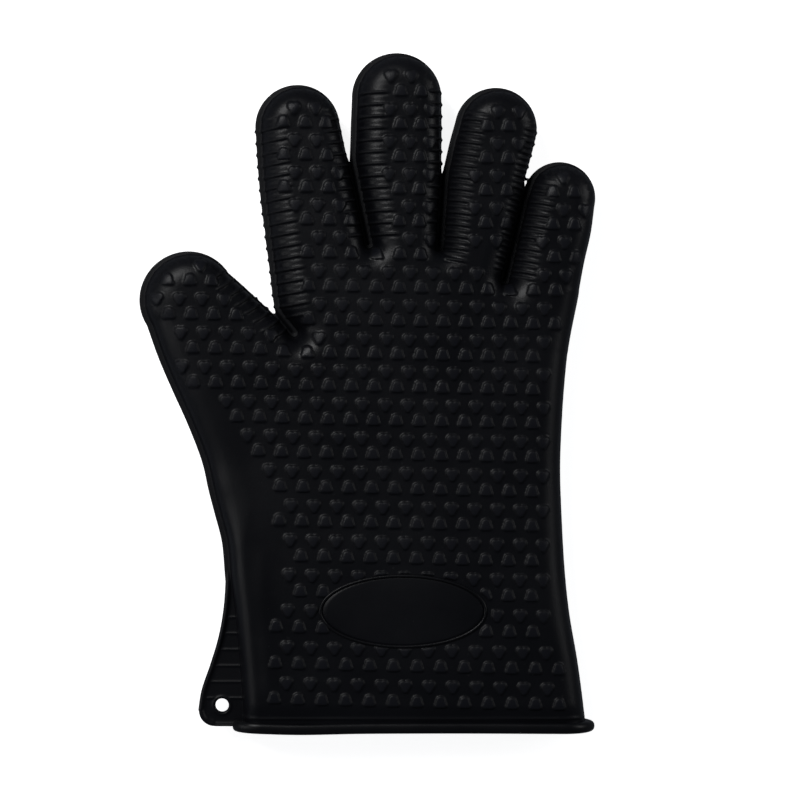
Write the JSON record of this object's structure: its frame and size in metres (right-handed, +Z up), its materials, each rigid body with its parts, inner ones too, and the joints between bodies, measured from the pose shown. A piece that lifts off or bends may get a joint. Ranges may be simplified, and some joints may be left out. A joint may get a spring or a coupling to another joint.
{
  "type": "heat resistant glove",
  "caption": "Black moulded silicone glove for handling hot cookware: raised heart grips, ribbed fingers, wide cuff with blank oval badge and hanging tab.",
  "frame": {"origin": "centre of the glove's outline, at the surface it lies on", "axes": "+Y towards the fingertips, +X towards the little finger, +Z up out of the front face"},
  "size_m": [0.18, 0.27, 0.0248],
  "materials": {
    "skin_silicone": "satin moulded silicone",
    "grip_silicone": "satin, slightly polished on top",
    "crease_silicone": "satin moulded silicone",
    "bead_silicone": "satin moulded silicone",
    "badge_silicone": "smooth satin",
    "tab_silicone": "smooth satin"
  },
  "bodies": {
    "hand": {"palm_front": "skin_silicone", "palm_back": "skin_silicone", "knuckle_crease": "crease_silicone", "cuff_front": "skin_silicone", "cuff_back": "skin_silicone", "hem_bead": "bead_silicone", "hang_tab": "tab_silicone", "tab_rim": "bead_silicone", "tab_ribs": "grip_silicone", "badge_plate": "badge_silicone", "badge_rim": "badge_silicone", "palm_grips": "grip_silicone", "cuff_grips": "grip_silicone", "thumb_middle_crease": "crease_silicone"},
    "knuckles": {"knuckle_front": "skin_silicone", "knuckle_back": "skin_silicone", "knuckle_grips": "grip_silicone", "index_middle_crease": "crease_silicone", "middle_middle_crease": "crease_silicone", "ring_middle_crease": "crease_silicone", "little_middle_crease": "crease_silicone"},
    "index_sleeve": {"index_sleeve": "skin_silicone", "index_sleeve_grips": "grip_silicone", "index_tip_crease": "crease_silicone"},
    "index_tip": {"index_tip": "skin_silicone", "index_tip_grips": "grip_silicone"},
    "middle_sleeve": {"middle_sleeve": "skin_silicone", "middle_sleeve_grips": "grip_silicone", "middle_tip_crease": "crease_silicone"},
    "middle_tip": {"middle_tip": "skin_silicone", "middle_tip_grips": "grip_silicone"},
    "ring_sleeve": {"ring_sleeve": "skin_silicone", "ring_sleeve_grips": "grip_silicone", "ring_tip_crease": "crease_silicone"},
    "ring_tip": {"ring_tip": "skin_silicone", "ring_tip_grips": "grip_silicone"},
    "little_sleeve": {"little_sleeve": "skin_silicone", "little_sleeve_grips": "grip_silicone", "little_tip_crease": "crease_silicone"},
    "little_tip": {"little_tip": "skin_silicone", "little_tip_grips": "grip_silicone"},
    "thumb_sleeve": {"thumb_sleeve": "skin_silicone", "thumb_sleeve_grips": "grip_silicone", "thumb_tip_crease": "crease_silicone"},
    "thumb_tip": {"thumb_tip": "skin_silicone", "thumb_tip_grips": "grip_silicone"}
  },
  "joints": [
    {"name": "knuckle_fold", "type": "hinge", "parent": "hand", "child": "knuckles", "pos_m": [0.0244, 0.0321, 0.012], "axis": [0.9802, -0.1981, 0], "range_deg": [0, 55], "stiffness_Nm_per_rad": 0.5, "deforming": ["knuckle_crease"]},
    {"name": "index_middle_fold", "type": "hinge", "parent": "knuckles", "child": "index_sleeve", "pos_m": [-0.02477, 0.08278, 0.012], "axis": [0.9914, 0.1309, 0], "range_deg": [0, 60], "stiffness_Nm_per_rad": 0.12, "deforming": ["index_middle_crease"]},
    {"name": "index_tip_fold", "type": "hinge", "parent": "index_sleeve", "child": "index_tip", "pos_m": [-0.02752, 0.1036, 0.012], "axis": [0.9914, 0.1309, 0], "range_deg": [0, 40], "stiffness_Nm_per_rad": 0.06, "deforming": ["index_tip_crease"]},
    {"name": "middle_middle_fold", "type": "hinge", "parent": "knuckles", "child": "middle_sleeve", "pos_m": [0.01224, 0.08599, 0.012], "axis": [0.9997, 0.0236, 0], "range_deg": [0, 60], "stiffness_Nm_per_rad": 0.12, "deforming": ["middle_middle_crease"]},
    {"name": "middle_tip_fold", "type": "hinge", "parent": "middle_sleeve", "child": "middle_tip", "pos_m": [0.01165, 0.11099, 0.012], "axis": [0.9997, 0.0236, 0], "range_deg": [0, 40], "stiffness_Nm_per_rad": 0.06, "deforming": ["middle_tip_crease"]},
    {"name": "ring_middle_fold", "type": "hinge", "parent": "knuckles", "child": "ring_sleeve", "pos_m": [0.04602, 0.07857, 0.012], "axis": [0.9839, -0.1786, 0], "range_deg": [0, 60], "stiffness_Nm_per_rad": 0.12, "deforming": ["ring_middle_crease"]},
    {"name": "ring_tip_fold", "type": "hinge", "parent": "ring_sleeve", "child": "ring_tip", "pos_m": [0.05013, 0.1012, 0.012], "axis": [0.9839, -0.1786, 0], "range_deg": [0, 40], "stiffness_Nm_per_rad": 0.06, "deforming": ["ring_tip_crease"]},
    {"name": "little_middle_fold", "type": "hinge", "parent": "knuckles", "child": "little_sleeve", "pos_m": [0.07227, 0.05956, 0.012], "axis": [0.9791, -0.2034, 0], "range_deg": [0, 60], "stiffness_Nm_per_rad": 0.12, "deforming": ["little_middle_crease"]},
    {"name": "little_tip_fold", "type": "hinge", "parent": "little_sleeve", "child": "little_tip", "pos_m": [0.07573, 0.07621, 0.012], "axis": [0.9791, -0.2034, 0], "range_deg": [0, 40], "stiffness_Nm_per_rad": 0.06, "deforming": ["little_tip_crease"]},
    {"name": "thumb_middle_fold", "type": "hinge", "parent": "hand", "child": "thumb_sleeve", "pos_m": [-0.05949, 0.01897, 0.012], "axis": [0.8386, 0.5447, 0], "range_deg": [0, 45], "stiffness_Nm_per_rad": 0.12, "deforming": ["thumb_middle_crease"]},
    {"name": "thumb_tip_fold", "type": "hinge", "parent": "thumb_sleeve", "child": "thumb_tip", "pos_m": [-0.07039, 0.03574, 0.012], "axis": [0.8386, 0.5447, 0], "range_deg": [0, 45], "stiffness_Nm_per_rad": 0.06, "deforming": ["thumb_tip_crease"]}
  ],
  "couplings": [
    {"joint": "index_tip_fold", "follows": "index_middle_fold", "ratio": 0.6},
    {"joint": "middle_tip_fold", "follows": "middle_middle_fold", "ratio": 0.6},
    {"joint": "ring_tip_fold", "follows": "ring_middle_fold", "ratio": 0.6},
    {"joint": "little_tip_fold", "follows": "little_middle_fold", "ratio": 0.6}
  ]
}
